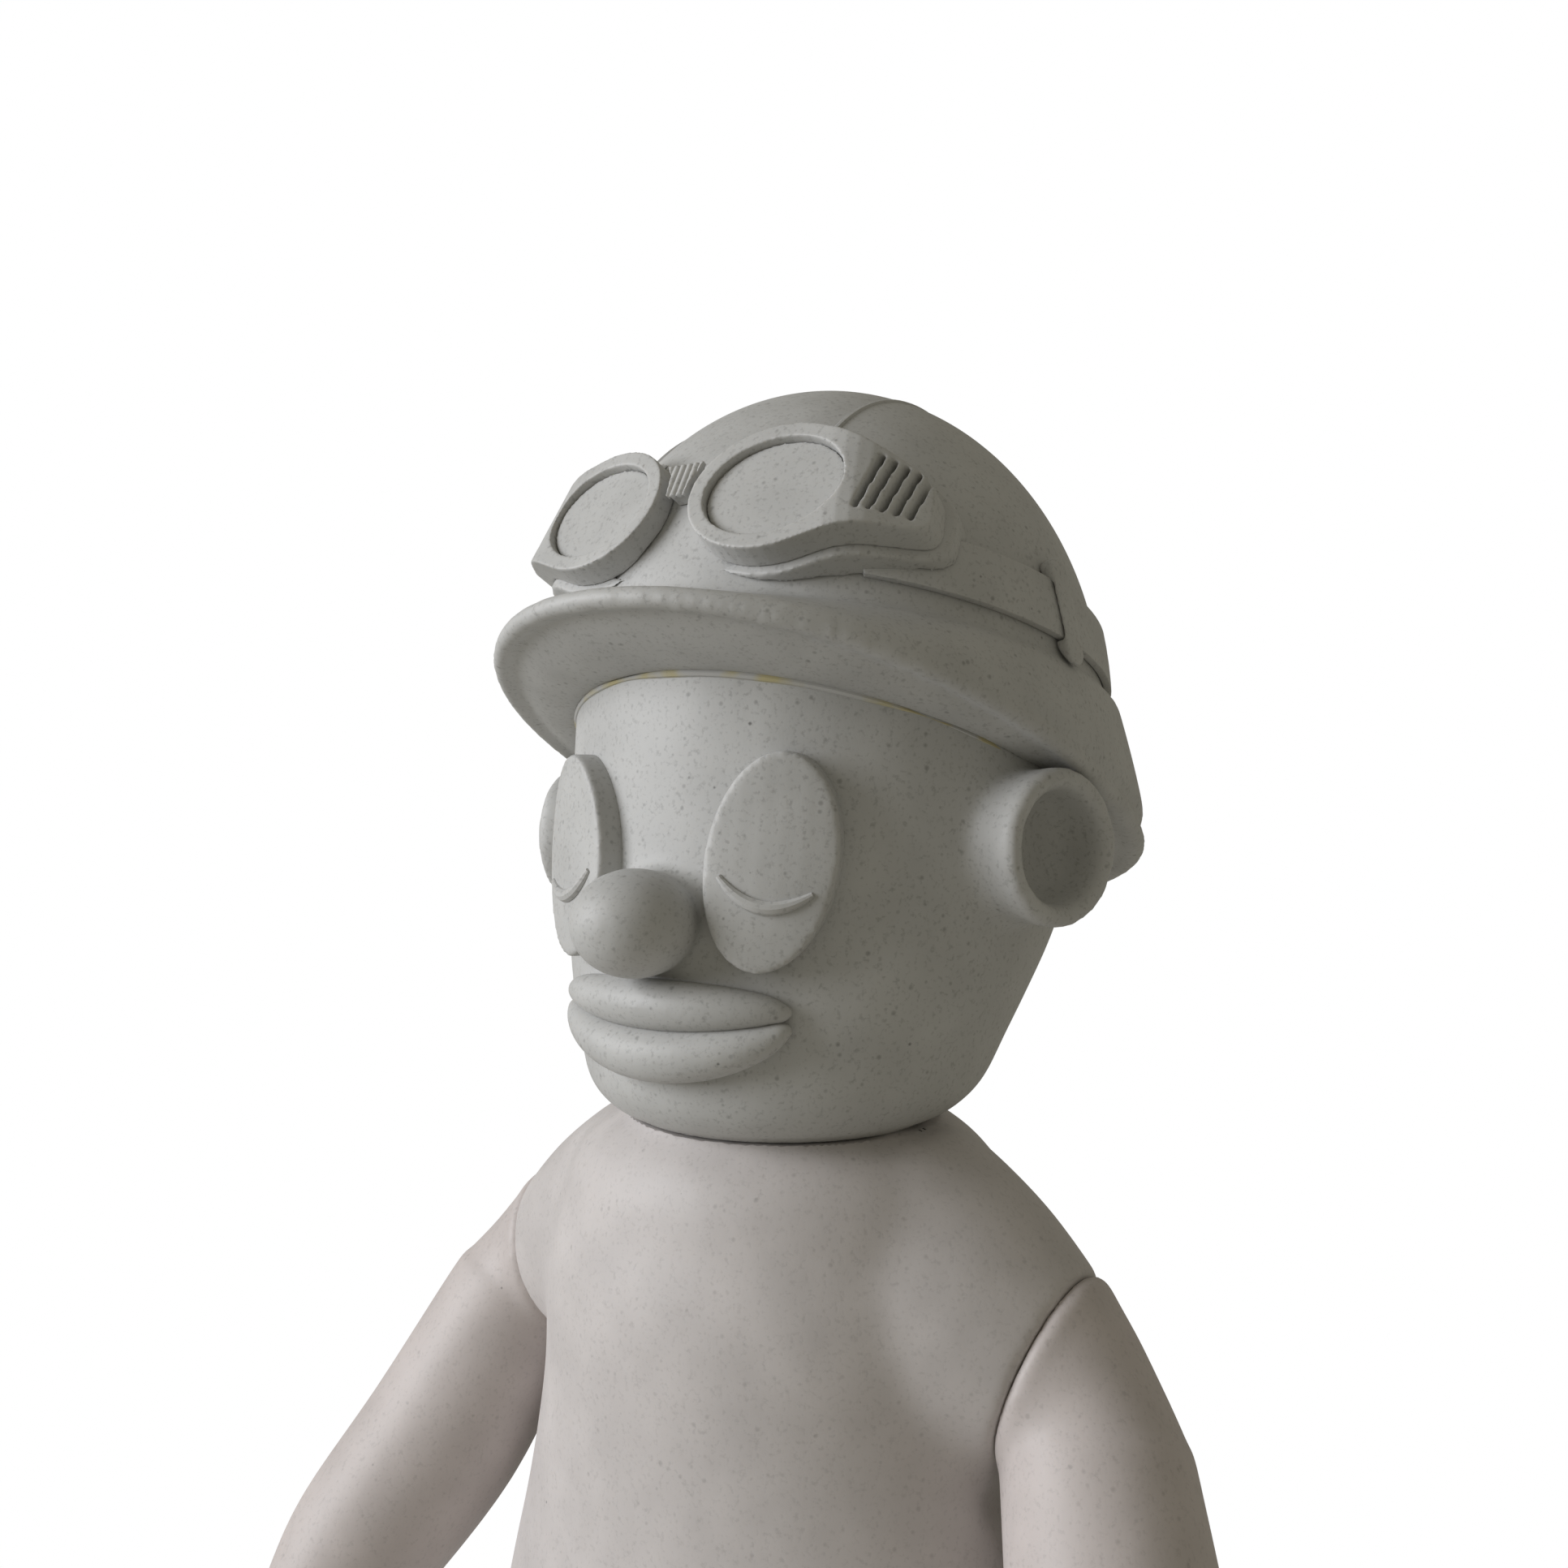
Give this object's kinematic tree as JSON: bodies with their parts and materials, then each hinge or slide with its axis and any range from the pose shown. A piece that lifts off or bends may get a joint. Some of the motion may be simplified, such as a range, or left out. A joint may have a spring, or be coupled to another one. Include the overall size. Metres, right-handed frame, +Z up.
{
  "type": "vinyl art toy figure",
  "caption": "Standing cartoon vinyl figure in a round peaked hat with a neck flap and goggles; the head, arms and legs turn on flanged plugs.",
  "frame": {"origin": "on the ground under the neck, at the centre of the figure's footprint box", "axes": "+Z up, -Y the way the figure faces, +X the figure's own left"},
  "size_m": [0.1324, 0.1064, 0.2464],
  "materials": {
    "torso_vinyl": "matte cast vinyl",
    "head_vinyl": "matte cast vinyl",
    "face_vinyl": "matte cast vinyl",
    "hat_vinyl": "matte cast vinyl",
    "goggle_vinyl": "matte cast vinyl",
    "lens_vinyl": "smooth cast vinyl",
    "limb_vinyl": "matte cast vinyl",
    "plug_plastic": "moulded plastic"
  },
  "bodies": {
    "torso": {"torso_shell": "torso_vinyl"},
    "head": {"head_shell": "head_vinyl", "neck_plug": "plug_plastic", "left_eye_plate": "face_vinyl", "right_eye_plate": "face_vinyl", "left_eye_lid": "face_vinyl", "right_eye_lid": "face_vinyl", "upper_lip": "face_vinyl", "lower_lip": "face_vinyl", "hat_shell": "hat_vinyl", "goggle_strap": "hat_vinyl", "left_strap_keeper": "hat_vinyl", "right_strap_keeper": "hat_vinyl", "left_goggle_cushion": "goggle_vinyl", "right_goggle_cushion": "goggle_vinyl", "left_goggle_frame": "goggle_vinyl", "right_goggle_frame": "goggle_vinyl", "left_goggle_lens": "lens_vinyl", "right_goggle_lens": "lens_vinyl", "goggle_bridge": "goggle_vinyl"},
    "left_arm": {"left_arm_shell": "limb_vinyl", "left_shoulder_plug": "plug_plastic"},
    "right_arm": {"right_arm_shell": "limb_vinyl", "right_shoulder_plug": "plug_plastic"},
    "left_leg": {"left_leg_shell": "limb_vinyl", "left_hip_plug": "plug_plastic"},
    "right_leg": {"right_leg_shell": "limb_vinyl", "right_hip_plug": "plug_plastic"}
  },
  "joints": [
    {"name": "neck_swivel", "type": "hinge", "parent": "torso", "child": "head", "pos_m": [0, 0, 0.152], "axis": [0, 0, 1], "continuous": true},
    {"name": "left_shoulder_swivel", "type": "hinge", "parent": "torso", "child": "left_arm", "pos_m": [0.037, 0, 0.127], "axis": [0.9397, 0, -0.342], "continuous": true},
    {"name": "right_shoulder_swivel", "type": "hinge", "parent": "torso", "child": "right_arm", "pos_m": [-0.037, 0, 0.127], "axis": [0.9397, 0, 0.342], "continuous": true},
    {"name": "left_hip_swivel", "type": "hinge", "parent": "torso", "child": "left_leg", "pos_m": [0.019, 0, 0.0563], "axis": [0, 0, 1], "range_deg": [-8, 70]},
    {"name": "right_hip_swivel", "type": "hinge", "parent": "torso", "child": "right_leg", "pos_m": [-0.019, 0, 0.0563], "axis": [0, 0, -1], "range_deg": [-8, 70]}
  ]
}
